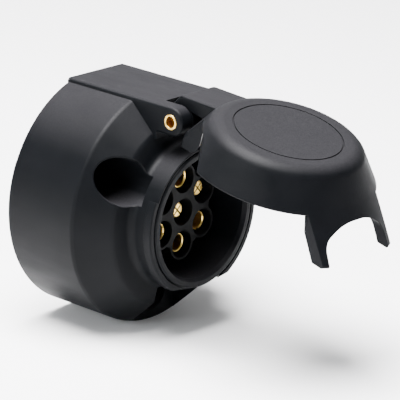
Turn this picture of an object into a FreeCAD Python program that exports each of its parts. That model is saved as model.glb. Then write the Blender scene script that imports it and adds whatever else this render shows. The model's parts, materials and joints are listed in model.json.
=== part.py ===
import FreeCAD, Part
import math
import os

import Sketcher

# A seven-pole trailer wiring socket with a hinged flap lid, in millimetres.
# The origin is the centre of the flat rear face, on the barrel's axis.
# The mouth looks along -Y, and +Z points up to the lid's hinge.

doc = FreeCAD.newDocument("trailer_socket")

# ---------------------------------------------------------------- driving sizes

# how close two places count as touching, and the flat left between two arcs
SLIVER = 0.01
# how near a face an edge lies to be rounded with it
NEAR = 0.5

SIZES = {
    # how far a cutting outline runs past the material that it cuts, and the same where space is short
    "past": 5.0,
    "just_past": 1.0,
    # housing: barrel, cone, shoulder and mouth tube
    "barrel_radius": 38.0,
    "cone_start": 27.0,
    "cone_round": 2.0,
    "crease_depth": 36.4,
    "crease_radius": 29.8,
    "crease_round": 3.0,
    "shoulder_depth": 38.0,
    "shoulder_round": 2.5,
    "tube_radius": 23.2,
    "mouth_depth": 47.1,
    "bore_radius": 19.5,
    "lip_radius": 22.1,
    "lead_in": 0.7,
    "rear_edge_radius": 0.6,
    "band_radius": 24.4,
    "band_setback": 0.25,
    "band_width": 3.0,
    "band_angle": 228.0,
    "band_edge_round": 0.5,
    "groove_depth": 0.9,
    "groove_width": 0.6,
    "lip_round": 0.25,
    "band_flat_half_width": 14.0,
    "band_flat_side": 20.3,
    "band_flat_middle": 22.4,
    # housing: rear cavity and the three fixing bolts
    "cavity_radius": 20.0,
    "cavity_depth": 19.0,
    "lobe_radius": 11.0,
    "lobe_offset": 22.0,
    "bolt_circle_radius": 28.0,
    "bolt_hole_radius": 2.75,
    "bolt_seat": 8.0,
    "pocket_radius": 7.2,
    "pocket_front": 40.9,
    "pocket_rim_round": 0.5,
    "lower_pocket_radius": 6.0,
    "lower_pocket_drop": 1.0,
    "notch_half_width": 9.7,
    "notch_floor": 27.0,
    "notch_roof": 22.6,
    # hinge block and hinge
    "block_half_width": 12.8,
    "block_front": 36.7,
    "block_bottom": 26.0,
    "block_foot": 37.5,
    "hinge_depth": 43.0,
    "hinge_height": 32.5,
    "nose_radius": 4.55,
    "ear_inner": 8.1,
    "slot_floor": 27.2,
    "edge_round": 1.1,
    "pin_radius": 2.4,
    "pin_recess_radius": 1.68,
    "pin_recess_depth": 2.75,
    "pin_rim_round": 0.18,
    "pin_proud": 0.2,
    "running_gap": 0.05,
    # lid, in its closed position about the hinge axis
    "lid_open_angle": 76.0,
    "lid_axis_drop": 33.9,
    "lid_top": 11.3,
    "lid_top_round": 5.7,
    "skirt_radius": 29.85,
    "skirt_slope": 0.64,
    "skirt_edge": 0.5,
    "skirt_edge_round": 0.5,
    "lid_wall": 1.9,
    "lid_roof": 2.1,
    "hollow_sector": 244.0,
    "ring_radius": 16.6,
    "ring_width": 0.45,
    "ring_depth": 0.35,
    "arm_half_width": 7.8,
    "arm_back": 7.0,
    "arm_crest": 2.5,
    "arm_crest_round": 1.8,
    "arm_shoulder_back": 3.7,
    "arm_shoulder_up": 4.5,
    "arm_foot_back": 11.2,
    "arm_foot": 20.0,
    "arm_under": 4.0,
    "arm_edge_round": 0.8,
    "arm_root_drop": 0.1,
    "knuckle_radius": 4.7,
    "heel_half_width": 12.8,
    "heel_edge": 5.25,
    "heel_drop": 6.2,
    "heel_foot_back": 9.3,
    "heel_foot": 13.1,
    "heel_reach": 14.2,
    "heel_root": 16.0,
    "heel_sweep": 40.0,
    "ear_clearance": 6.1,
    "tube_clearance": 0.35,
    "cove_depth": 1.97,
    "cove_width": 2.25,
    "cove_lap": 0.1,
    "skirt_end_roof": 7.0,
    "skirt_end": 12.7,
    "skirt_end_slope": 0.83,
    "wing_round": 1.6,
    "prong_tip": 13.1,
    "prong_flare": 0.9,
    "prong_half_width": 15.9,
    "prong_root_wall": 3.3,
    "prong_root_lap": 2.0,
    "prong_tip_wall": 4.4,
    "prong_sector": 64.0,
    "prong_tip_round": 0.7,
    "arch_half_width": 13.3,
    "arch_flare": 0.9,
    "arch_shoulder": 6.59,
    "arch_shoulder_round": 5.3,
    "arch_crown_half_width": 5.51,
    "arch_crown": 2.2,
    "arch_crown_round": 17.0,
    # lid seal
    "seal_radius": 20.9,
    "seal_plate": 1.6,
    "seal_lip_width": 2.6,
    "seal_lip_end": 4.5,
    "seal_lip_spread": 0.6,
    "seal_edge_inset": 1.4,
    "seal_root_inset": 0.5,
    "seal_round": 0.8,
    # contact carrier
    "carrier_face": 38.4,
    "carrier_web_radius": 12.0,
    "boss_radius": 5.1,
    "pitch_radius": 10.5,
    "well_radius": 4.3,
    "well_floor": 24.0,
    "flange_thickness": 3.0,
    "flange_gap": 0.3,
    "lug_radius": 5.4,
    "lug_offset": 26.2,
    # contacts
    "contact_radius": 2.95,
    "contact_fit": 0.03,
    "socket_radius": 2.53,
    "socket_depth": 14.0,
    "socket_setback": 2.1,
    "socket_lead_in": 0.25,
    "pin_contact_radius": 2.5,
    "pin_contact_setback": 2.4,
    "pin_tip_chamfer": 0.45,
    "slit_width": 0.5,
    "slit_depth": 9.0,
    "terminal_radius": 3.6,
    "terminal_length": 7.0,
    "centre_terminal_length": 11.0,
    "wire_hole_radius": 1.6,
    "wire_hole_depth": 5.5,
    # screws
    "terminal_screw_radius": 1.5,
    "terminal_head_radius": 1.9,
    "terminal_screw_length": 3.6,
    "terminal_head_length": 1.5,
    "terminal_head_lift": 0.4,
    "terminal_margin": 0.6,
    "carrier_screw_radius": 1.5,
    "carrier_head_radius": 2.8,
    "carrier_screw_length": 8.0,
    "carrier_head_length": 2.0,
    "driver_slot_width": 0.7,
    "driver_slot_depth": 0.7,
    # rear seal plug
    "plug_front": 3.6,
    "plug_thickness": 3.0,
    "plug_gap": 0.2,
    "cable_hole_radius": 4.5,
    "cable_collar": 2.0,
    "cable_collar_depth": 1.2,
    "cable_hole_drop": 6.0,
    # torsion spring
    "coil_radius": 3.75,
    "wire_radius": 0.5,
    "coil_pitch": 1.3,
    "coil_clearance": 1.6,
    "leg_clearance": 1.0,
    "coil_turns": 4.0,
    "spring_slot": 3.6,
    "spring_leg": 8.0,
}


def make_sheet():
    """Put the driving sizes into the spreadsheet, one alias a row."""
    sheet = doc.addObject("Spreadsheet::Sheet", "Sizes")
    for row, (alias, number) in enumerate(SIZES.items(), start=1):
        sheet.set("A%d" % row, alias)
        sheet.set("B%d" % row, str(number))
        sheet.setAlias("B%d" % row, alias)
    doc.recompute()
    return sheet


sheet = make_sheet()


class Size:
    """A size that carries its number and the sheet expression that it comes from."""

    def __init__(self, number, text):
        self.number = number
        self.text = text

    def join(self, other, sign, number):
        return Size(number, "(%s %s %s)" % (self.text, sign, as_size(other).text))

    def __add__(self, other):
        return self.join(other, "+", self.number + as_size(other).number)

    def __sub__(self, other):
        return self.join(other, "-", self.number - as_size(other).number)

    def __mul__(self, other):
        return self.join(other, "*", self.number * as_size(other).number)

    def __truediv__(self, other):
        return self.join(other, "/", self.number / as_size(other).number)

    def __neg__(self):
        return Size(-self.number, "(-%s)" % self.text)


def as_size(value):
    """Wrap a plain number as a Size."""
    if isinstance(value, Size):
        return value
    return Size(float(value), repr(float(value)))


def size(alias):
    """The sheet's value under this alias."""
    return Size(float(sheet.get(alias)), "Sizes." + alias)


def cosine(degrees):
    return Size(math.cos(math.radians(degrees)), "cos(%r deg)" % degrees)


def sine(degrees):
    return Size(math.sin(math.radians(degrees)), "sin(%r deg)" % degrees)


def bind(thing, **sizes):
    """Set each property to its number and bind it to the sheet."""
    for name, value in sizes.items():
        value = as_size(value)
        setattr(thing, name, value.number)
        thing.setExpression(name, value.text)
    return thing


def place(thing, x=0, y=0, z=0, turn=0, axis=(0, 0, 1)):
    """Bind a Placement to the sheet: a position and a turn about an axis."""
    x, y, z, turn = as_size(x), as_size(y), as_size(z), as_size(turn)
    rotation = FreeCAD.Rotation(FreeCAD.Vector(*axis), turn.number)
    thing.Placement = FreeCAD.Placement(FreeCAD.Vector(x.number, y.number, z.number), rotation)
    thing.setExpression(".Placement.Base.x", x.text)
    thing.setExpression(".Placement.Base.y", y.text)
    thing.setExpression(".Placement.Base.z", z.text)
    thing.setExpression(".Placement.Rotation.Angle", "(%s) * 1 deg" % turn.text)
    return thing


# ---------------------------------------------------------------- sketch helpers

def new_body(name):
    body = doc.addObject("PartDesign::Body", name)
    body.Label = name
    return body


def origin_plane(body, role):
    for feature in body.Origin.OriginFeatures:
        if feature.Role == role:
            return feature
    raise ValueError(role)


def new_sketch(body, name, role, shift=(0, 0, 0)):
    """A sketch on one of the body's own origin planes, shifted within it and off it."""
    sketch = body.newObject("Sketcher::SketchObject", name)
    sketch.AttachmentSupport = [(origin_plane(body, role), "")]
    sketch.MapMode = "FlatFace"
    numbers = [as_size(value) for value in shift]
    sketch.AttachmentOffset = FreeCAD.Placement(
        FreeCAD.Vector(*[value.number for value in numbers]), FreeCAD.Rotation()
    )
    for letter, value in zip("xyz", numbers):
        sketch.setExpression(".AttachmentOffset.Base." + letter, value.text)
    return sketch


def constrain(sketch, rules):
    """Add all the constraints at once. A rule is a constraint and the Size it holds, or None."""
    first = sketch.ConstraintCount
    sketch.addConstraint([rule for rule, value in rules])
    for index, (rule, value) in enumerate(rules, start=first):
        if value is not None:
            sketch.setExpression("Constraints[%d]" % index, value.text)


def held_at(geometry, point, across, up):
    """The rules that hold a point at its two coordinates."""
    return [
        (Sketcher.Constraint("DistanceX", -1, 1, geometry, point, across.number), across),
        (Sketcher.Constraint("DistanceY", -1, 1, geometry, point, up.number), up),
    ]


def circle(sketch, across, up, radius):
    across, up, radius = as_size(across), as_size(up), as_size(radius)
    centre = FreeCAD.Vector(across.number, up.number, 0)
    shape = Part.Circle(centre, FreeCAD.Vector(0, 0, 1), radius.number)
    index = sketch.addGeometry(shape, False)
    rules = held_at(index, 3, across, up)
    rules.append((Sketcher.Constraint("Radius", index, radius.number), radius))
    constrain(sketch, rules)


def rounded_corner(before, corner, after, radius):
    """Where an arc of this radius leaves one straight run and joins the next, and its centre."""
    back = (before - corner).normalize()
    ahead = (after - corner).normalize()
    half = back.getAngle(ahead) / 2
    start = corner + back * (radius / math.tan(half))
    end = corner + ahead * (radius / math.tan(half))
    centre = corner + (back + ahead).normalize() * (radius / math.sin(half))
    return start, end, centre


def add_arc(sketch, start, end, centre):
    """An arc between two points. Returns its index and which of its ends are start and end."""
    turns_left = (start - centre).cross(end - centre).z > 0
    first, last = (start, end) if turns_left else (end, start)
    angles = [math.atan2(point.y - centre.y, point.x - centre.x) for point in (first, last)]
    if angles[1] < angles[0]:
        angles[1] += 2 * math.pi
    ring = Part.Circle(centre, FreeCAD.Vector(0, 0, 1), (start - centre).Length)
    index = sketch.addGeometry(Part.ArcOfCircle(ring, angles[0], angles[1]), False)
    return (index, 1, 2) if turns_left else (index, 2, 1)


def outline(sketch, corners):
    """A closed outline of straight runs. A corner is (across, up) or (across, up, radius)."""
    corners = [tuple(as_size(value) for value in corner) for corner in corners]
    places = [FreeCAD.Vector(corner[0].number, corner[1].number, 0) for corner in corners]
    count = len(corners)
    arrives, leaves, centres = list(places), list(places), {}
    for i, corner in enumerate(corners):
        if len(corner) == 3:
            arrives[i], leaves[i], centres[i] = rounded_corner(
                places[i - 1], places[i], places[(i + 1) % count], corner[2].number
            )
    runs = []
    for i in range(count):
        runs.append(sketch.addGeometry(Part.LineSegment(leaves[i], arrives[(i + 1) % count]), False))
    rules = []
    for i, corner in enumerate(corners):
        incoming, outgoing = runs[i - 1], runs[i]
        if i not in centres:
            rules.append((Sketcher.Constraint("Coincident", incoming, 2, outgoing, 1), None))
            rules += held_at(outgoing, 1, corner[0], corner[1])
            continue
        arc, first, last = add_arc(sketch, arrives[i], leaves[i], centres[i])
        mark = sketch.addGeometry(Part.Point(places[i]), True)
        rules.append((Sketcher.Constraint("Tangent", incoming, 2, arc, first), None))
        rules.append((Sketcher.Constraint("Tangent", arc, last, outgoing, 1), None))
        rules.append((Sketcher.Constraint("Radius", arc, corner[2].number), corner[2]))
        rules += held_at(mark, 1, corner[0], corner[1])
        rules.append((Sketcher.Constraint("PointOnObject", mark, 1, incoming), None))
        rules.append((Sketcher.Constraint("PointOnObject", mark, 1, outgoing), None))
    constrain(sketch, rules)


# ---------------------------------------------------------------- feature helpers

def checked(body, feature, grows):
    """Recompute, and make sure that the feature has really added or removed material."""
    before = body.Shape.Volume if body.Shape and not body.Shape.isNull() else 0.0
    body.Tip = feature
    doc.recompute()
    change = body.Shape.Volume - before
    if (change > 0) != grows or abs(change) < 1e-3:
        raise RuntimeError("%s changed the volume by %.3f" % (feature.Name, change))
    return feature


def pad(body, sketch, length, middle=False, back=False):
    feature = body.newObject("PartDesign::Pad", sketch.Name + "_pad")
    feature.Profile = sketch
    bind(feature, Length=length)
    feature.Midplane = middle
    feature.Reversed = back
    return checked(body, feature, True)


def pocket(body, sketch, length, middle=False, back=False):
    feature = body.newObject("PartDesign::Pocket", sketch.Name + "_pocket")
    feature.Profile = sketch
    bind(feature, Length=length)
    feature.Midplane = middle
    feature.Reversed = back
    return checked(body, feature, False)


def revolve(body, sketch, angle=360.0, cut=False, middle=False):
    kind = "Groove" if cut else "Revolution"
    feature = body.newObject("PartDesign::" + kind, sketch.Name + "_" + kind.lower())
    feature.Profile = sketch
    feature.ReferenceAxis = (sketch, ["H_Axis"])
    bind(feature, Angle=angle)
    feature.Midplane = middle
    return checked(body, feature, not cut)


def polar(body, feature, grows, count):
    """Repeat a feature round the body's Y axis."""
    pattern = body.newObject("PartDesign::PolarPattern", feature.Name + "_round")
    pattern.Originals = [feature]
    pattern.Axis = (origin_plane(body, "Y_Axis"), [""])
    pattern.Angle = 360.0
    pattern.Occurrences = count
    return checked(body, pattern, grows)


def mirror(body, feature, grows):
    """Repeat a feature on the other side of the body's YZ plane."""
    copy = body.newObject("PartDesign::Mirrored", feature.Name + "_mirrored")
    copy.Originals = [feature]
    copy.MirrorPlane = (origin_plane(body, "YZ_Plane"), [""])
    return checked(body, copy, grows)


def soften(body, name, radius, wanted, grows=False):
    """Round the edges of the body's last feature whose every sampled point passes the test."""
    last = body.Tip
    names = []
    for number, edge in enumerate(last.Shape.Edges, start=1):
        if all(wanted(point) for point in edge.discretize(5)):
            names.append("Edge%d" % number)
    fillet = body.newObject("PartDesign::Fillet", name)
    fillet.Base = (last, names)
    bind(fillet, Radius=radius)
    return checked(body, fillet, grows)


def drum(name, radius, length, back=0, x=0, z=0):
    """A cylinder along -Y that starts at y = -back."""
    solid = doc.addObject("Part::Cylinder", name)
    bind(solid, Radius=radius, Height=length)
    return place(solid, x, -as_size(back), z, 90, (1, 0, 0))


def taper(name, rear_radius, front_radius, length, back):
    """A cone along -Y that starts at y = -back."""
    solid = doc.addObject("Part::Cone", name)
    bind(solid, Radius1=rear_radius, Radius2=front_radius, Height=length)
    return place(solid, 0, -as_size(back), 0, 90, (1, 0, 0))


def combine(kind, name, solids):
    """A boolean of several solids, under its own name."""
    if kind == "Fuse":
        result = doc.addObject("Part::MultiFuse", name)
        result.Shapes = solids
    else:
        result = doc.addObject("Part::" + kind, name)
        result.Base, result.Tool = solids
    result.Label = name
    return result


# ---------------------------------------------------------------- housing

def housing():
    body = new_body("housing")

    front = -size("mouth_depth") + size("band_setback")
    turned = new_sketch(body, "housing_profile", "YZ_Plane")
    outline(turned, [
        (0, size("cavity_radius")),
        (0, size("barrel_radius"), size("rear_edge_radius")),
        (-size("cone_start"), size("barrel_radius"), size("cone_round")),
        (-size("crease_depth"), size("crease_radius"), size("crease_round")),
        (-size("shoulder_depth"), size("tube_radius"), size("shoulder_round")),
        (front, size("tube_radius"), size("lip_round")),
        (front, size("lip_radius") + size("groove_width")),
        (front + size("groove_depth"), size("lip_radius") + size("groove_width")),
        (front + size("groove_depth"), size("lip_radius")),
        (-size("mouth_depth"), size("lip_radius"), size("rear_edge_radius")),
        (-size("mouth_depth"), size("bore_radius") + size("lead_in")),
        (-size("mouth_depth") + size("lead_in") * 2, size("bore_radius")),
        (-size("cavity_depth"), size("bore_radius")),
        (-size("cavity_depth"), size("cavity_radius")),
    ])
    revolve(body, turned)

    hinge_block(body)
    mouth_band(body)
    bolt_pockets(body)

    lobe = new_sketch(body, "cavity_lobe", "XZ_Plane")
    circle(lobe, 0, size("lobe_offset"), size("lobe_radius"))
    polar(body, pocket(body, lobe, size("cavity_depth"), back=True), False, 3)

    pilot = new_sketch(body, "pilot_hole", "XZ_Plane", (0, 0, size("cavity_depth")))
    circle(pilot, 0, size("lug_offset"), size("carrier_screw_radius"))
    deep = size("carrier_screw_length") - size("flange_thickness") + size("just_past")
    polar(body, pocket(body, pilot, deep, back=True), False, 3)
    return body


def hinge_block(body):
    """The flat-topped block over the barrel and the two ears that hold the pin."""
    top = size("hinge_height") + size("nose_radius")
    nose = size("hinge_depth") + size("nose_radius")
    side = new_sketch(body, "block_side", "YZ_Plane")
    outline(side, [
        (0, size("block_bottom")),
        (0, top),
        (-nose, top, size("nose_radius") - SLIVER),
        (-nose, size("hinge_height") - size("nose_radius"), size("nose_radius") - SLIVER),
        (-size("block_foot"), size("hinge_height") - size("nose_radius")),
        (-size("block_foot"), size("block_bottom")),
    ])
    half = size("block_half_width")
    pad(body, side, half * 2, middle=True)
    soften(body, "block_edges", size("edge_round"),
           lambda p: abs(p.x) > half.number - SLIVER and p.z > top.number - SLIVER)

    crest = new_sketch(body, "barrel_crest", "YZ_Plane")
    outline(crest, [
        (size("past"), top),
        (size("past"), size("barrel_radius") + size("past")),
        (-size("crease_depth"), size("barrel_radius") + size("past")),
        (-size("crease_depth"), top),
    ])
    pocket(body, crest, half * 2, middle=True)

    slot = new_sketch(body, "ear_slot", "YZ_Plane")
    outline(slot, [
        (-size("block_front"), size("slot_floor")),
        (-size("block_front"), top + size("past")),
        (-nose - size("past"), top + size("past")),
        (-nose - size("past"), size("slot_floor")),
    ])
    pocket(body, slot, size("ear_inner") * 2, middle=True)

    bore = new_sketch(body, "pin_hole", "YZ_Plane")
    circle(bore, -size("hinge_depth"), size("hinge_height"), size("pin_radius"))
    pocket(body, bore, half * 3, middle=True)


def mouth_band(body):
    """The thicker band round the mouth's lower part, with a flat along its bottom."""
    back = -size("mouth_depth") + size("band_width")
    front = -size("mouth_depth") + size("band_setback")
    inside = size("lip_radius") + size("groove_width")
    band = new_sketch(body, "band_profile", "YZ_Plane")
    outline(band, [
        (back, -inside),
        (front, -inside),
        (front, -size("band_radius"), size("band_edge_round")),
        (back, -size("band_radius")),
    ])
    revolve(body, band, size("band_angle"), middle=True)

    outer = size("band_radius") + size("past")
    half = size("band_flat_half_width")
    flat = new_sketch(body, "band_flat", "XZ_Plane", (0, 0, -back))
    outline(flat, [
        (0, -size("band_flat_middle")),
        (half, -size("band_flat_side")),
        (half, -outer),
        (-half, -outer),
        (-half, -size("band_flat_side")),
    ])
    pocket(body, flat, size("band_width"), back=True)


def bolt_pockets(body):
    """Two round pockets beside the hinge and an open notch below, each over a bolt hole."""
    across = size("bolt_circle_radius") * cosine(30)
    up = size("bolt_circle_radius") * sine(30)
    seat = size("bolt_seat")

    round_pocket = new_sketch(body, "side_pocket", "XZ_Plane", (0, 0, seat))
    circle(round_pocket, -across, up, size("pocket_radius"))
    deep = size("pocket_front") - seat
    mirror(body, pocket(body, round_pocket, deep, back=True), False)
    wall = size("pocket_radius").number + SLIVER
    front_end = -size("pocket_front").number + SLIVER
    back_end = -seat.number - size("past").number
    nearest_axis = size("crease_radius").number - size("crease_round").number
    soften(body, "pocket_rims", size("pocket_rim_round"),
           lambda p: front_end < p.y < back_end
           and math.hypot(abs(p.x) - across.number, p.z - up.number) < wall
           and math.hypot(p.x, p.z) > nearest_axis)

    notch = new_sketch(body, "lower_notch", "XZ_Plane", (0, 0, size("notch_floor")))
    half = size("notch_half_width")
    below = -size("barrel_radius") - size("past")
    outline(notch, [
        (half, -size("notch_roof")),
        (half, below),
        (-half, below),
        (-half, -size("notch_roof")),
    ])
    notch_front = size("shoulder_depth") + size("shoulder_round")
    pocket(body, notch, notch_front - size("notch_floor"), back=True)

    deep_pocket = new_sketch(body, "lower_pocket", "XZ_Plane", (0, 0, seat))
    drop = -size("bolt_circle_radius") - size("lower_pocket_drop")
    circle(deep_pocket, 0, drop, size("lower_pocket_radius"))
    pocket(body, deep_pocket, size("notch_floor") - seat, back=True)

    hole = new_sketch(body, "bolt_hole", "XZ_Plane")
    circle(hole, 0, -size("bolt_circle_radius"), size("bolt_hole_radius"))
    polar(body, pocket(body, hole, seat, back=True), False, 3)


def hinge_pin():
    """A brass rivet through both ears and the lid's knuckle, with a recess in each end."""
    body = new_body("hinge_pin")
    half = size("block_half_width") + size("pin_proud")
    shank = new_sketch(body, "pin_shank", "YZ_Plane")
    circle(shank, 0, 0, size("pin_radius"))
    pad(body, shank, half * 2, middle=True)
    recess = new_sketch(body, "pin_recess", "YZ_Plane", (0, 0, half - size("pin_recess_depth")))
    circle(recess, 0, 0, size("pin_recess_radius"))
    mirror(body, pocket(body, recess, size("pin_recess_depth"), back=True), False)
    soften(body, "pin_rims", size("pin_rim_round"), lambda p: abs(p.x) > half.number - SLIVER)
    return place(body, 0, -size("hinge_depth"), size("hinge_height"))


# ---------------------------------------------------------------- lid

def skirt_at(along):
    """The radius of the lid's outer cone at this distance past the hinge axis."""
    return size("skirt_radius") + size("skirt_slope") * along


def on_hinge(thing):
    """Turn a piece of the lid from its closed position to its open one."""
    return place(
        thing, 0, -size("hinge_depth"), size("hinge_height"), -size("lid_open_angle"), (1, 0, 0)
    )


def lid():
    body = new_body("lid")
    axis = (0, -size("lid_axis_drop"), 0)
    lid_arm(body)
    lid_heel(body)
    lid_shell(body, axis)
    lid_rooms(body, axis)
    lid_prongs(body)
    lid_hinge_end(body)

    top = -size("lid_top")
    ring = new_sketch(body, "lid_ring", "YZ_Plane", axis)
    outline(ring, [
        (top - size("just_past"), size("ring_radius")),
        (top - size("just_past"), size("ring_radius") + size("ring_width")),
        (top + size("ring_depth"), size("ring_radius") + size("ring_width")),
        (top + size("ring_depth"), size("ring_radius")),
    ])
    revolve(body, ring, cut=True)
    return on_hinge(body)


def lid_arm(body):
    """The arm from the knuckle into the dome, with its two long outer edges rounded."""
    half = size("arm_half_width")
    knuckle = size("knuckle_radius")
    arm = new_sketch(body, "arm_side", "YZ_Plane")
    outline(arm, [
        (0, knuckle - size("arm_root_drop")),
        (-size("arm_shoulder_back"), size("arm_shoulder_up")),
        (-size("arm_back"), size("arm_crest"), size("arm_crest_round")),
        (-size("arm_foot_back"), -size("arm_foot")),
        (-size("arm_under"), -size("arm_foot")),
        (-size("arm_under"), -knuckle / 2),
        (0, -knuckle / 2),
    ])
    pad(body, arm, half * 2, middle=True)
    outer = -size("arm_back").number + NEAR
    soften(body, "arm_edges", size("arm_edge_round"),
           lambda p: abs(p.x) > half.number - SLIVER and p.y < outer)
    barrel = new_sketch(body, "knuckle_round", "YZ_Plane")
    circle(barrel, 0, 0, knuckle)
    pad(body, barrel, half * 2, middle=True)


def lid_heel(body):
    """The heel under the hinge, whose two sides stand out as rounded wings."""
    edge = size("heel_edge")
    drop = size("heel_drop")
    half = size("heel_half_width")
    heel = new_sketch(body, "heel_side", "YZ_Plane")
    outline(heel, [
        (edge, -drop),
        (0, -drop),
        (-size("heel_foot_back"), -size("heel_foot")),
        (-size("heel_foot_back"), -size("heel_root")),
        (0, -size("heel_root")),
        (edge, -size("heel_reach")),
    ])
    pad(body, heel, half * 2, middle=True)
    side = half.number - SLIVER
    soften(body, "wing_edges", size("wing_round"),
           lambda p: abs(p.x) > side and p.y < SLIVER and p.z > -size("heel_foot").number - SLIVER)


def lid_shell(body, axis):
    """The dome and skirt, the thicker band for the prongs, and a hollow that spares the heel."""
    top = -size("lid_top")
    edge = size("skirt_edge")
    dome = new_sketch(body, "lid_dome", "YZ_Plane", axis)
    outline(dome, [
        (top, 0),
        (top, skirt_at(top), size("lid_top_round")),
        (edge, skirt_at(edge), size("skirt_edge_round")),
        (edge, 0),
    ])
    revolve(body, dome)

    prong = new_sketch(body, "prong_profile", "YZ_Plane", axis)
    tip = size("prong_tip")
    inside = skirt_at(edge) - size("prong_root_wall")
    root = edge - size("prong_root_lap")
    outside = skirt_at(tip) + size("prong_flare")
    outline(prong, [
        (root, -skirt_at(root)),
        (tip, -outside, size("prong_tip_round")),
        (tip, -outside + size("prong_tip_wall"), size("skirt_edge_round")),
        (edge, -inside),
        (root, -inside),
    ])
    revolve(body, prong, size("prong_sector"), middle=True)

    roof = top + size("lid_roof")
    wall = size("lid_wall")
    open_end = edge + size("just_past")
    hollow = new_sketch(body, "lid_hollow", "YZ_Plane", axis)
    outline(hollow, [
        (roof, 0),
        (roof, wall - skirt_at(roof), size("lid_roof")),
        (open_end, wall - skirt_at(open_end)),
        (open_end, 0),
    ])
    revolve(body, hollow, size("hollow_sector"), cut=True, middle=True)


def lid_rooms(body, axis):
    """Cut the heel back to clear the seal, the mouth tube and its shoulder as the lid turns."""
    edge = size("heel_edge")
    clear = size("tube_clearance")
    roof = -size("lid_top") + size("lid_roof")
    mouth = size("hinge_depth") - size("mouth_depth")
    room = new_sketch(body, "seal_room", "YZ_Plane", axis)
    seal_outer = size("seal_radius") + size("seal_lip_spread") + clear
    outline(room, [
        (roof, 0),
        (roof, seal_outer),
        (mouth, seal_outer),
        (mouth, 0),
    ])
    revolve(body, room, cut=True)

    tube_outer = size("tube_radius") + clear
    outside = edge + size("just_past")
    tube = new_sketch(body, "tube_room", "XZ_Plane", (0, 0, -outside))
    circle(tube, 0, -size("hinge_height"), tube_outer)
    pocket(body, tube, outside - mouth + clear, back=True)

    swing = new_sketch(body, "swing_room", "XZ_Plane")
    circle(swing, 0, -size("hinge_height"), tube_outer)
    revolve(body, swing, size("heel_sweep"), cut=True)

    shoulder = size("hinge_depth") - size("shoulder_depth")
    cove = new_sketch(body, "cove_room", "YZ_Plane", (0, -size("hinge_height"), 0))
    outline(cove, [
        (shoulder - size("cove_depth"), size("tube_radius")),
        (edge + size("cove_lap"), tube_outer + size("cove_width")),
        (edge + size("cove_lap"), size("tube_radius")),
    ])
    revolve(body, cove, cut=True)


def lid_prongs(body):
    """Trim the lower band into two prongs with an arch between them."""
    below = size("lid_axis_drop") + size("past") * 2
    beyond = size("prong_tip") + size("past")
    side = size("prong_half_width")
    sides = new_sketch(body, "prong_sides", "XY_Plane", (0, 0, -below))
    outline(sides, [
        (side, size("skirt_edge")),
        (side, beyond),
        (side * 3, beyond),
        (side * 3, size("skirt_edge")),
    ])
    mirror(body, pocket(body, sides, size("barrel_radius")), False)

    arch = new_sketch(body, "prong_arch", "XY_Plane", (0, 0, -below))
    half = size("arch_half_width")
    crown = size("arch_crown_half_width")
    outline(arch, [
        (-half, size("arch_shoulder"), size("arch_shoulder_round")),
        (-crown, size("arch_crown"), size("arch_crown_round")),
        (crown, size("arch_crown"), size("arch_crown_round")),
        (half, size("arch_shoulder"), size("arch_shoulder_round")),
        (half + size("arch_flare"), beyond),
        (-half - size("arch_flare"), beyond),
    ])
    pocket(body, arch, size("barrel_radius"))


def lid_hinge_end(body):
    """Room for the ears, the spring and the pin, and the skirt cut away beside the heel."""
    arm = size("arm_half_width")
    heel = size("heel_half_width")
    ear = new_sketch(body, "ear_room", "YZ_Plane", (0, 0, arm))
    circle(ear, 0, 0, size("ear_clearance"))
    mirror(body, pocket(body, ear, heel + size("just_past") - arm, back=True), False)

    roof = size("skirt_end_roof")
    outer = size("skirt_radius") + size("just_past") * 2
    front = size("heel_edge") + size("just_past")
    ends = new_sketch(body, "skirt_ends", "XZ_Plane", (0, 0, -front))
    outline(ends, [
        (heel, -size("skirt_end")),
        (outer, -size("skirt_end") - size("skirt_end_slope") * (outer - heel)),
        (outer, 0),
        (heel, 0),
    ])
    mirror(body, pocket(body, ends, front + roof, back=True), False)

    coil = new_sketch(body, "coil_room", "YZ_Plane")
    reach = size("coil_radius") + size("coil_clearance")
    leg_end = -size("spring_leg") - size("leg_clearance")
    leg_side = -size("coil_radius") + size("coil_pitch")
    outline(coil, [
        (reach, reach),
        (-reach, reach),
        (-reach, leg_end),
        (leg_side, leg_end),
        (leg_side, -reach),
        (reach, -reach),
    ])
    pocket(body, coil, size("spring_slot") * 2, middle=True)

    bore = new_sketch(body, "lid_bore", "YZ_Plane")
    circle(bore, 0, 0, size("pin_radius") + size("running_gap"))
    pocket(body, bore, arm * 3, middle=True)


def lid_seal():
    """The soft disc in the lid's roof, with a lip that meets the mouth's rim."""
    body = new_body("lid_seal")
    roof = -size("lid_top") + size("lid_roof")
    profile = new_sketch(body, "seal_profile", "YZ_Plane", (0, -size("lid_axis_drop"), 0))
    under = roof + size("seal_plate")
    outer = size("seal_radius")
    inner = outer - size("seal_lip_width")
    end = -size("seal_lip_end")
    outline(profile, [
        (roof, 0),
        (roof, outer - size("seal_edge_inset")),
        (under, outer - size("seal_root_inset")),
        (end, outer + size("seal_lip_spread"), size("seal_round")),
        (end, inner, size("seal_round")),
        (under, inner - size("seal_lip_spread"), size("seal_round")),
        (under, 0),
    ])
    revolve(body, profile)
    return on_hinge(body)


# ---------------------------------------------------------------- contacts

SOCKET_ANGLES = {"top": 90, "upper_left": 150, "lower_left": 210, "bottom": 270, "lower_right": 330}


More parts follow.
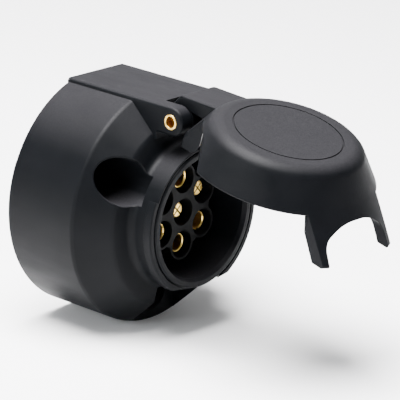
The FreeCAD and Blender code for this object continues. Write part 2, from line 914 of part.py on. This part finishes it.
def contact_carrier():
    """The cluster of seven wells that stands in front of the insert's flange."""
    body = new_body("contact_carrier")
    back = size("cavity_depth")
    long = size("carrier_face") - back
    web = new_sketch(body, "carrier_web", "XZ_Plane", (0, 0, back))
    circle(web, 0, 0, size("carrier_web_radius"))
    pad(body, web, long)
    boss = new_sketch(body, "carrier_boss", "XZ_Plane", (0, 0, back))
    circle(boss, 0, size("pitch_radius"), size("boss_radius"))
    polar(body, pad(body, boss, long), True, 6)

    well_depth = size("carrier_face") - size("well_floor")
    middle_well = new_sketch(body, "middle_well", "XZ_Plane", (0, 0, size("well_floor")))
    circle(middle_well, 0, 0, size("well_radius"))
    pocket(body, middle_well, well_depth, back=True)
    well = new_sketch(body, "outer_well", "XZ_Plane", (0, 0, size("well_floor")))
    circle(well, 0, size("pitch_radius"), size("well_radius"))
    polar(body, pocket(body, well, well_depth, back=True), False, 6)
    contact_holes(body, "carrier", back, size("well_floor") - back)
    return body


def carrier_flange():
    """The insert's rear flange, with the three lugs that screw to the housing."""
    body = new_body("carrier_flange")
    thick = size("flange_thickness")
    back = size("cavity_depth") - thick
    disc = new_sketch(body, "flange_disc", "XZ_Plane", (0, 0, back))
    circle(disc, 0, 0, size("cavity_radius") - size("flange_gap"))
    pad(body, disc, thick)
    lug = new_sketch(body, "flange_lug", "XZ_Plane", (0, 0, back))
    outline(lug, [
        (-size("lug_radius"), size("pitch_radius")),
        (-size("lug_radius"), size("lug_offset") + size("lug_radius"), size("lug_radius") - SLIVER),
        (size("lug_radius"), size("lug_offset") + size("lug_radius"), size("lug_radius") - SLIVER),
        (size("lug_radius"), size("pitch_radius")),
    ])
    polar(body, pad(body, lug, thick), True, 3)
    contact_holes(body, "flange", back, thick)
    screw = new_sketch(body, "lug_hole", "XZ_Plane", (0, 0, back))
    circle(screw, 0, size("lug_offset"), size("carrier_screw_radius") + size("running_gap"))
    polar(body, pocket(body, screw, thick, back=True), False, 3)
    return body


def contact_holes(body, name, back, depth):
    """The seven holes that the contacts' stems pass through."""
    stem = size("contact_radius") + size("contact_fit")
    middle = new_sketch(body, name + "_middle_hole", "XZ_Plane", (0, 0, back))
    circle(middle, 0, 0, stem)
    pocket(body, middle, depth, back=True)
    hole = new_sketch(body, name + "_outer_hole", "XZ_Plane", (0, 0, back))
    circle(hole, 0, size("pitch_radius"), stem)
    polar(body, pocket(body, hole, depth, back=True), False, 6)


def contact(name, socket, x, z, angle, terminal_length):
    """A brass contact: a slit tube or a crosscut pin in front, a screw terminal behind."""
    back = size("cavity_depth") - size("flange_thickness")
    rear = back - terminal_length
    floor = size("well_floor")
    stem = drum(name + "_stem", size("contact_radius"), floor - back, back)
    terminal = drum(name + "_terminal", size("terminal_radius"), terminal_length, rear)
    if socket:
        front = size("carrier_face") - size("socket_setback")
        radius, lead = size("socket_radius"), size("socket_lead_in")
        depth = size("socket_depth")
        tips = [drum(name + "_tip", size("contact_radius"), front - floor, floor)]
        cuts = [
            drum(name + "_mouth", radius, depth, front - depth),
            taper(name + "_lead_in", radius, radius + lead, lead, front - lead),
            slit(name + "_slit", 135, 0, front),
        ]
    else:
        front = size("carrier_face") - size("pin_contact_setback")
        radius, chamfer = size("pin_contact_radius"), size("pin_tip_chamfer")
        shoulder = front - chamfer
        tips = [
            drum(name + "_tip", radius, shoulder - floor, floor),
            taper(name + "_point", radius, radius - chamfer, chamfer, shoulder),
        ]
        cuts = [slit("%s_slit_%d" % (name, turn), turn, radius * 3, front) for turn in (45, 135)]
    solid = combine("Fuse", name + "_solid", [stem, terminal] + tips)

    cuts.append(drum(name + "_wire", size("wire_hole_radius"), size("wire_hole_depth"), rear))
    tapping = doc.addObject("Part::Cylinder", name + "_tapping")
    bind(tapping, Radius=size("terminal_screw_radius"), Height=size("terminal_radius") + size("just_past"))
    cuts.append(outward(tapping, 0, 0, angle, terminal_middle(terminal_length), 0))
    tools = combine("Fuse", name + "_cuts", cuts)
    result = combine("Cut", name, [solid, tools])
    return place(result, x, 0, z)


def slit(name, turn, length, front):
    """A thin box turned about the Y axis: across it, or out from it where the length is 0."""
    box = doc.addObject("Part::Box", name)
    half_thick = size("slit_width") / 2
    half_long = as_size(length) / 2
    reach = size("contact_radius") * 3
    bind(box, Length=reach, Width=size("slit_depth"), Height=size("slit_width"))
    across = cosine(turn) * half_long - sine(turn) * half_thick
    up = sine(turn) * half_long + cosine(turn) * half_thick
    return place(box, -across, -front, -up, -turn, (0, 1, 0))


def terminal_middle(terminal_length):
    """How far in front of the rear face the terminal's screw sits."""
    rear = size("cavity_depth") - size("flange_thickness") - terminal_length
    return rear + size("terminal_head_radius") + size("terminal_margin")


def outward(thing, x, z, angle, depth, start):
    """Aim a cylinder away from the Y axis at this angle, starting this far out."""
    x = as_size(x) + cosine(angle) * start
    z = as_size(z) + sine(angle) * start
    return place(thing, x, -depth, z, 90 - angle, (0, 1, 0))


def driver_slot(name, head_radius):
    slot = doc.addObject("Part::Box", name)
    bind(slot, Length=head_radius * 3, Width=size("driver_slot_width"), Height=size("driver_slot_depth"))
    return slot


def terminal_screw(name, x, z, angle, terminal_length):
    """A slotted screw that clamps the wire, built along +Z and then aimed outwards."""
    shank = doc.addObject("Part::Cylinder", name + "_shank")
    bind(shank, Radius=size("terminal_screw_radius"), Height=size("terminal_screw_length"))
    place(shank, 0, 0, 0)
    head = doc.addObject("Part::Cylinder", name + "_head")
    bind(head, Radius=size("terminal_head_radius"), Height=size("terminal_head_length"))
    place(head, 0, 0, size("terminal_screw_length"))
    top = size("terminal_screw_length") + size("terminal_head_length")
    slot = driver_slot(name + "_slot", size("terminal_head_radius"))
    place(slot, size("terminal_head_radius") * -1.5, size("driver_slot_width") * -0.5,
          top - size("driver_slot_depth"))
    screw = combine("Cut", name, [combine("Fuse", name + "_solid", [shank, head]), slot])
    start = size("terminal_radius") + size("terminal_head_lift") - size("terminal_screw_length")
    return outward(screw, x, z, angle, terminal_middle(terminal_length), start)


def carrier_screw(name, angle):
    """A slotted screw that holds one of the carrier's lugs to the housing."""
    x = cosine(angle) * size("lug_offset")
    z = sine(angle) * size("lug_offset")
    back = size("cavity_depth") - size("flange_thickness")
    shank = drum(name + "_shank", size("carrier_screw_radius"), size("carrier_screw_length"), back)
    head = drum(name + "_head", size("carrier_head_radius"), size("carrier_head_length"),
                back - size("carrier_head_length"))
    slot = driver_slot(name + "_slot", size("carrier_head_radius"))
    place(slot, size("carrier_head_radius") * -1.5,
          -back + size("carrier_head_length") - size("driver_slot_depth"),
          size("driver_slot_width") * -0.5)
    screw = combine("Cut", name, [combine("Fuse", name + "_solid", [shank, head]), slot])
    return place(screw, x, 0, z)


def all_contacts():
    """Seven contacts and their screws, each where it sits in the carrier."""
    made = []
    radius = size("pitch_radius")
    short, long = size("terminal_length"), size("centre_terminal_length")
    rows = [("contact_tube_" + place_name, True, angle) for place_name, angle in SOCKET_ANGLES.items()]
    rows.append(("contact_pin_upper_right", False, 30))
    for name, socket, angle in rows:
        x, z = cosine(angle) * radius, sine(angle) * radius
        made.append(contact(name, socket, x, z, angle, short))
        screw = name.replace("contact_tube", "terminal_screw").replace("contact_pin", "terminal_screw")
        made.append(terminal_screw(screw, x, z, angle, short))
    made.append(contact("contact_pin_centre", False, 0, 0, 60, long))
    made.append(terminal_screw("terminal_screw_centre", 0, 0, 60, long))
    return made


# ---------------------------------------------------------------- rear seal plug and spring

def rear_seal_plug():
    """A soft plug that closes the cavity behind the terminals, with a collared cable hole."""
    body = new_body("rear_seal_plug")
    back = size("plug_front") - size("plug_thickness")
    disc = new_sketch(body, "plug_disc", "XZ_Plane", (0, 0, back))
    circle(disc, 0, 0, size("cavity_radius") - size("plug_gap"))
    pad(body, disc, size("plug_thickness"))
    lobe = new_sketch(body, "plug_lobe", "XZ_Plane", (0, 0, back))
    circle(lobe, 0, size("lobe_offset"), size("lobe_radius") - size("plug_gap"))
    polar(body, pad(body, lobe, size("plug_thickness")), True, 3)

    drop = -size("cable_hole_drop")
    collar = new_sketch(body, "plug_collar", "XZ_Plane", (0, 0, size("plug_front")))
    circle(collar, 0, drop, size("cable_hole_radius") + size("cable_collar"))
    pad(body, collar, size("cable_collar_depth"))
    hole = new_sketch(body, "cable_hole", "XZ_Plane", (0, 0, back))
    circle(hole, 0, drop, size("cable_hole_radius"))
    pocket(body, hole, size("plug_thickness") + size("cable_collar_depth"), back=True)
    return body


def lid_spring():
    """The torsion spring round the pin: a coil, a leg to the block and a leg to the lid."""
    coil_length = size("coil_pitch") * size("coil_turns")
    helix = doc.addObject("Part::Helix", "spring_path")
    bind(helix, Pitch=size("coil_pitch"), Height=coil_length, Radius=size("coil_radius"))
    section = doc.addObject("Part::Circle", "spring_wire")
    bind(section, Radius=size("wire_radius"))
    place(section, size("coil_radius"), 0, 0, 90, (1, 0, 0))
    coil = doc.addObject("Part::Sweep", "spring_coil")
    coil.Sections = [section]
    coil.Spine = (helix, [])
    coil.Solid = True
    coil.Frenet = True
    housing_leg = doc.addObject("Part::Cylinder", "spring_housing_leg")
    bind(housing_leg, Radius=size("wire_radius"),
         Height=size("hinge_depth") - size("block_front") - 0.05)
    place(housing_leg, size("coil_radius"), 0, 0, -90, (1, 0, 0))
    lid_leg = doc.addObject("Part::Cylinder", "spring_lid_leg")
    bind(lid_leg, Radius=size("wire_radius"), Height=size("spring_leg"))
    place(lid_leg, size("coil_radius"), 0, coil_length, 90, (1, 0, 0))
    spring = combine("Fuse", "lid_spring", [coil, housing_leg, lid_leg])
    return place(spring, coil_length / -2, -size("hinge_depth"), size("hinge_height"), 90, (0, 1, 0))


# ---------------------------------------------------------------- build and write

def make_parts():
    parts = [housing(), hinge_pin(), lid(), lid_seal(), lid_spring(), contact_carrier(), carrier_flange()]
    parts.append(rear_seal_plug())
    parts += all_contacts()
    for number, angle in enumerate((90, 210, 330), start=1):
        parts.append(carrier_screw("carrier_screw_%d" % number, angle))
    return parts


def check(parts):
    """Stop if anything in the document has failed, or a part isn't a sound solid."""
    for thing in doc.Objects:
        if "Invalid" in thing.State or "Error" in thing.State:
            raise RuntimeError("%s is in state %s" % (thing.Name, thing.State))
    for part in parts:
        if part.Shape.isNull() or not part.Shape.isValid():
            raise RuntimeError("%s has no valid shape" % part.Label)


def write(parts):
    os.makedirs("parts", exist_ok=True)
    for part in parts:
        part.Shape.exportStep("parts/%s.step" % part.Label)


parts = make_parts()
doc.recompute()
check(parts)
write(parts)
for part in parts:
    print("%-26s %9.1f mm3  solids %d" % (part.Label, part.Shape.Volume, len(part.Shape.Solids)))
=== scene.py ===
import json
import math

import bpy
from mathutils import Matrix, Vector


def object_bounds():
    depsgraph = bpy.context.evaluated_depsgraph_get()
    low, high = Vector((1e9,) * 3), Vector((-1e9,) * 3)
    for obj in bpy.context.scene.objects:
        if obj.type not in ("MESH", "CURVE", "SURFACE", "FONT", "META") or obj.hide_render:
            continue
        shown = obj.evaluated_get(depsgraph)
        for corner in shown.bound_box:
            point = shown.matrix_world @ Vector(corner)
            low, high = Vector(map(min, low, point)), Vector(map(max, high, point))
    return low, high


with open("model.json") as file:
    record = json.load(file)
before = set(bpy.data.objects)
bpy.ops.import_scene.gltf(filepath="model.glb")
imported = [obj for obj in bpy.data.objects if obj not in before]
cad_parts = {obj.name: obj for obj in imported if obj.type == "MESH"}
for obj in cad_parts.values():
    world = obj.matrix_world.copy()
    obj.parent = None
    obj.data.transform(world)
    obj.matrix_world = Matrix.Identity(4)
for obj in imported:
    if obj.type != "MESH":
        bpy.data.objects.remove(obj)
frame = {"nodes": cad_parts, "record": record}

# A seven-pole trailer wiring socket with its flap lid open, in metres.
# The origin is the centre of the flat rear face. The mouth looks along -Y, and +Z is up.

CAD_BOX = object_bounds()
MM = 0.001

# Each material's two tones, which noise mixes. All colours here are linear.
FLOOR = ((0.90, 0.90, 0.91), (0.95, 0.95, 0.95))
BODY_PLASTIC = ((0.0011, 0.0014, 0.0018), (0.0019, 0.0022, 0.0028))
INSERT_PLASTIC = ((0.0012, 0.0013, 0.0014), (0.0020, 0.0021, 0.0022))
BRASS = ((0.60, 0.40, 0.10), (0.76, 0.54, 0.17))
SCREW_STEEL = ((0.56, 0.57, 0.60), (0.66, 0.65, 0.60))
SPRING_STEEL = ((0.42, 0.42, 0.44), (0.52, 0.51, 0.50))
RUBBER = ((0.016, 0.016, 0.017), (0.045, 0.044, 0.043))
# Dust with a painted top light on faces that look up, painted shade on brass in its hollows, and
# worn edges of plated steel.
DUST_AND_TOP_LIGHT = (0.0160, 0.0156, 0.0172)
BRASS_PAINTED_SHADE = (0.26, 0.13, 0.02)
STEEL_EDGE = (0.78, 0.79, 0.80)
# How many times paler than the moulding its rubbed edges are.
RUBBED_TONE = 2.2
# How strongly the dark plastics reflect, against 0.5 for a plain one.
PLASTIC_GLEAM = 0.05
# Where most values of a noise texture lie.
NOISE_RANGE = (0.3, 0.7)
# Rays that round each corner's normals.
CORNER_SAMPLES = 4

# Each lamp's name, its place from the object's middle, its side, its watts and its colour.
LAMPS = (
    ("top_light", (-0.15, 0.05, 0.75), 0.6, 62.0, (1.0, 0.99, 1.0)),
    ("left_light", (-0.95, 0.25, 0.3), 0.5, 7.0, (0.94, 0.97, 1.0)),
    ("front_light", (0.5, -0.9, 0.5), 0.4, 1.0, (0.95, 0.97, 1.0)),
)
WORLD_STRENGTH = 0.45
# How far the floor lies under the object.
FLOOR_GAP = 0.2 * MM


# ---------------------------------------------------------------- camera

def camera():
    """A long lens from the left, in front and a little above."""
    azimuth, elevation, roll = math.radians(-49.24), math.radians(18.25), math.radians(-2.48)
    distance = 931.6 * MM
    target = Vector((0.1, -45.0, 5.5)) * MM
    back = Vector((
        math.sin(azimuth) * math.cos(elevation),
        -math.cos(azimuth) * math.cos(elevation),
        math.sin(elevation),
    ))
    lens = bpy.data.cameras.new("camera")
    lens.lens = 273.4
    lens.sensor_width = 36.0
    lens.clip_start = 0.05
    lens.clip_end = 20.0
    holder = bpy.data.objects.new("camera", lens)
    bpy.context.scene.collection.objects.link(holder)
    upright = (-back).to_track_quat("-Z", "Y").to_matrix().to_4x4()
    holder.matrix_world = (
        Matrix.Translation(target + back * distance) @ upright @ Matrix.Rotation(-roll, 4, "Z")
    )
    bpy.context.scene.camera = holder


# ---------------------------------------------------------------- stage and light

def stage():
    """A pale sweep: a floor that curves up into a wall behind the object."""
    lowest = CAD_BOX[0].z - FLOOR_GAP
    front, depth, width, height, bend = 2.0, 1.6, 3.0, 1.6, 0.5
    steps = 24
    side = [(-front, lowest)]
    for step in range(steps + 1):
        angle = math.radians(90) * step / steps
        side.append((depth - bend + bend * math.sin(angle), lowest + bend - bend * math.cos(angle)))
    side.append((depth, lowest + height))
    verts, faces = [], []
    for along, up in side:
        verts.append((-width, along, up))
        verts.append((width, along, up))
    for index in range(len(side) - 1):
        first = index * 2
        faces.append((first, first + 1, first + 3, first + 2))
    mesh = bpy.data.meshes.new("sweep")
    mesh.from_pydata(verts, [], faces)
    mesh.polygons.foreach_set("use_smooth", [True] * len(faces))
    sweep = bpy.data.objects.new("sweep", mesh)
    bpy.context.scene.collection.objects.link(sweep)
    paint, tree, shader = new_paint("pale_floor", roughness=0.9)
    tone = noise(tree, place_on(tree), 3.0, detail=2.0)
    shade(tree, tone, *FLOOR, shader)
    mesh.materials.append(paint)


def lamp(name, place, aim, size, power, tint):
    """A soft square lamp at a place, turned to face the aim point."""
    light = bpy.data.lights.new(name, "AREA")
    light.size = size
    light.energy = power
    light.color = tint
    holder = bpy.data.objects.new(name, light)
    bpy.context.scene.collection.objects.link(holder)
    holder.location = place
    holder.rotation_mode = "QUATERNION"
    holder.rotation_quaternion = (Vector(aim) - Vector(place)).to_track_quat("-Z", "Y")


def lights():
    """Soft lamps above, to the left and in front, and an even white surround."""
    middle = (CAD_BOX[0] + CAD_BOX[1]) / 2
    for name, offset, size, power, tint in LAMPS:
        lamp(name, middle + Vector(offset), middle, size, power, tint)
    world = bpy.data.worlds.new("studio")
    world.use_nodes = True
    background = world.node_tree.nodes["Background"]
    background.inputs["Color"].default_value = (1.0, 1.0, 1.0, 1)
    background.inputs["Strength"].default_value = WORLD_STRENGTH
    bpy.context.scene.world = world


# ---------------------------------------------------------------- node helpers

def new_paint(name, roughness=0.5, metallic=0.0, gleam=0.5):
    """An empty node material. Returns the material, its tree and its shader."""
    paint = bpy.data.materials.new(name)
    paint.use_nodes = True
    shader = paint.node_tree.nodes["Principled BSDF"]
    shader.inputs["Roughness"].default_value = roughness
    shader.inputs["Metallic"].default_value = metallic
    shader.inputs["Specular IOR Level"].default_value = gleam
    return paint, paint.node_tree, shader


def place_on(tree):
    """Where a point is on its own object, in metres."""
    return tree.nodes.new("ShaderNodeTexCoord").outputs["Object"]


def stretched(tree, place, scale):
    """The same place, scaled by a different number along each axis."""
    mapping = tree.nodes.new("ShaderNodeMapping")
    mapping.inputs["Scale"].default_value = scale
    tree.links.new(place, mapping.inputs["Vector"])
    return mapping.outputs["Vector"]


def noise(tree, place, scale, detail=3.0, rough=0.5):
    """Soft three-dimensional noise about 1 / scale metres across."""
    texture = tree.nodes.new("ShaderNodeTexNoise")
    texture.inputs["Scale"].default_value = scale
    texture.inputs["Detail"].default_value = detail
    texture.inputs["Roughness"].default_value = rough
    tree.links.new(place, texture.inputs["Vector"])
    return texture.outputs["Fac"]


def spread(tree, value, low, high, to_low=0.0, to_high=1.0):
    """Map the range low to high onto the range to_low to to_high, and clamp it."""
    node = tree.nodes.new("ShaderNodeMapRange")
    tree.links.new(value, node.inputs["Value"])
    node.inputs["From Min"].default_value = low
    node.inputs["From Max"].default_value = high
    node.inputs["To Min"].default_value = to_low
    node.inputs["To Max"].default_value = to_high
    return node.outputs["Result"]


def times(tree, first, second):
    """Multiply two values."""
    node = tree.nodes.new("ShaderNodeMath")
    node.operation = "MULTIPLY"
    tree.links.new(first, node.inputs[0])
    tree.links.new(second, node.inputs[1])
    return node.outputs["Value"]


def blend(tree, factor, first, second):
    """Mix two colours. Each is a colour or another node's output."""
    node = tree.nodes.new("ShaderNodeMix")
    node.data_type = "RGBA"
    tree.links.new(factor, node.inputs["Factor"])
    for value, socket in ((first, node.inputs[6]), (second, node.inputs[7])):
        if isinstance(value, tuple):
            socket.default_value = (*value, 1)
        else:
            tree.links.new(value, socket)
    return node.outputs[2]


def shade(tree, factor, first, second, shader):
    """Colour the shader by a mix of two colours."""
    tree.links.new(blend(tree, factor, first, second), shader.inputs["Base Color"])


def roughen(tree, value, low, high, shader, reach=NOISE_RANGE):
    """Vary the shader's roughness from low to high as the value goes through its reach."""
    tree.links.new(spread(tree, value, *reach, low, high), shader.inputs["Roughness"])


def edges(tree, start, end):
    """0 on flat and hollow places, rising to 1 on sharp outer edges."""
    geometry = tree.nodes.new("ShaderNodeNewGeometry")
    return spread(tree, geometry.outputs["Pointiness"], start, end)


def facing_up(tree, start, end):
    """0 on walls and undersides, rising to 1 on faces that look up while the lid is open.

    It follows the piece's own normals, so it stays put on the lid as the lid turns.
    """
    surface = tree.nodes.new("ShaderNodeTexCoord")
    parts = tree.nodes.new("ShaderNodeSeparateXYZ")
    tree.links.new(surface.outputs["Normal"], parts.inputs["Vector"])
    return spread(tree, parts.outputs["Z"], start, end)


def raised(tree, layers, corner, shader):
    """Stack bump layers, each (height, strength, depth), on normals rounded at the corners."""
    rounding = tree.nodes.new("ShaderNodeBevel")
    rounding.samples = CORNER_SAMPLES
    rounding.inputs["Radius"].default_value = corner
    normal = rounding.outputs["Normal"]
    for height, strength, depth in layers:
        bump = tree.nodes.new("ShaderNodeBump")
        bump.inputs["Strength"].default_value = strength
        bump.inputs["Distance"].default_value = depth
        tree.links.new(height, bump.inputs["Height"])
        tree.links.new(normal, bump.inputs["Normal"])
        normal = bump.outputs["Normal"]
    tree.links.new(normal, shader.inputs["Normal"])


# ---------------------------------------------------------------- materials

def moulded_plastic(name, tones, low_gloss, high_gloss):
    """Dark moulded plastic: fine grain, faint flow marks, dust and a painted top light on faces
    that look up, and paler rubbed edges.
    """
    deep, pale = tones
    paint, tree, shader = new_paint(name, gleam=PLASTIC_GLEAM)
    place = place_on(tree)
    cloud = noise(tree, place, 45.0, detail=4.0, rough=0.6)
    speck = noise(tree, place, 2600.0, detail=2.0)
    flow = noise(tree, stretched(tree, place, (1.0, 0.25, 1.0)), 160.0)
    body = blend(tree, spread(tree, cloud, *NOISE_RANGE), deep, pale)
    # Faces that look up are painted paler: dust specks and a painted top light together.
    speckled = spread(tree, speck, *NOISE_RANGE, 0.45, 1.0)
    dust_and_top_light = times(tree, facing_up(tree, 0.55, 1.0), speckled)
    dusty_and_top_lit = blend(tree, dust_and_top_light, body, DUST_AND_TOP_LIGHT)
    rubbed = times(tree, edges(tree, 0.52, 0.70), spread(tree, flow, 0.35, 0.65, 0.10, 0.40))
    shade(tree, rubbed, dusty_and_top_lit, tuple(value * RUBBED_TONE for value in pale), shader)
    roughen(tree, flow, low_gloss, high_gloss, shader, (0.25, 0.75))
    grain = noise(tree, place, 1900.0)
    raised(tree, [(flow, 0.16, 0.3 * MM), (grain, 0.40, 0.06 * MM)], 0.25 * MM, shader)
    return paint


def turned_brass():
    """Bright turned brass, painted browner in the hollows as painted shade, with fine turning
    marks.
    """
    paint, tree, shader = new_paint("turned_brass", metallic=1.0)
    place = place_on(tree)
    cloud = noise(tree, place, 500.0, detail=4.0, rough=0.6)
    bright = blend(tree, spread(tree, cloud, *NOISE_RANGE), *BRASS)
    # Hollow places get painted shade: the brass there is painted brown.
    shade(tree, edges(tree, 0.44, 0.53), BRASS_PAINTED_SHADE, bright, shader)
    roughen(tree, cloud, 0.24, 0.40, shader)
    marks = noise(tree, stretched(tree, place, (1.0, 6.0, 1.0)), 1800.0, detail=2.0)
    raised(tree, [(marks, 0.12, 0.03 * MM)], 0.1 * MM, shader)
    return paint


def plated_steel(name, tones, low_gloss, high_gloss):
    """Zinc-plated steel with a cloudy finish and fine drawn lines."""
    paint, tree, shader = new_paint(name, metallic=1.0)
    place = place_on(tree)
    cloud = noise(tree, place, 320.0, detail=5.0, rough=0.65)
    plated = blend(tree, spread(tree, cloud, *NOISE_RANGE), *tones)
    shade(tree, edges(tree, 0.52, 0.62), plated, STEEL_EDGE, shader)
    roughen(tree, cloud, low_gloss, high_gloss, shader)
    lines = noise(tree, stretched(tree, place, (1.0, 8.0, 1.0)), 900.0)
    raised(tree, [(lines, 0.15, 0.03 * MM)], 0.1 * MM, shader)
    return paint


def soft_rubber():
    """Matte grey-black rubber with a paler bloom."""
    paint, tree, shader = new_paint("soft_rubber")
    place = place_on(tree)
    bloom = noise(tree, place, 120.0, detail=5.0, rough=0.65)
    shade(tree, spread(tree, bloom, 0.35, 0.75), *RUBBER, shader)
    roughen(tree, bloom, 0.68, 0.86, shader)
    pores = noise(tree, place, 1500.0)
    raised(tree, [(pores, 0.18, 0.08 * MM)], 0.3 * MM, shader)
    return paint


def paint_nodes():
    """Give each CAD node the material of its slot in the record."""
    paints = {
        "body_plastic": moulded_plastic("moulded_plastic", BODY_PLASTIC, 0.39, 0.55),
        "insert_plastic": moulded_plastic("insert_plastic", INSERT_PLASTIC, 0.45, 0.61),
        "brass": turned_brass(),
        "screw_steel": plated_steel("plated_steel", SCREW_STEEL, 0.26, 0.42),
        "spring_steel": plated_steel("spring_steel", SPRING_STEEL, 0.30, 0.45),
        "seal_rubber": soft_rubber(),
    }
    for part in frame["record"]["subparts"]:
        for slot in frame["nodes"][part["node"]].material_slots:
            slot.material = paints[part["material_slot"]]


# ---------------------------------------------------------------- the scene

camera()
stage()
lights()
paint_nodes()
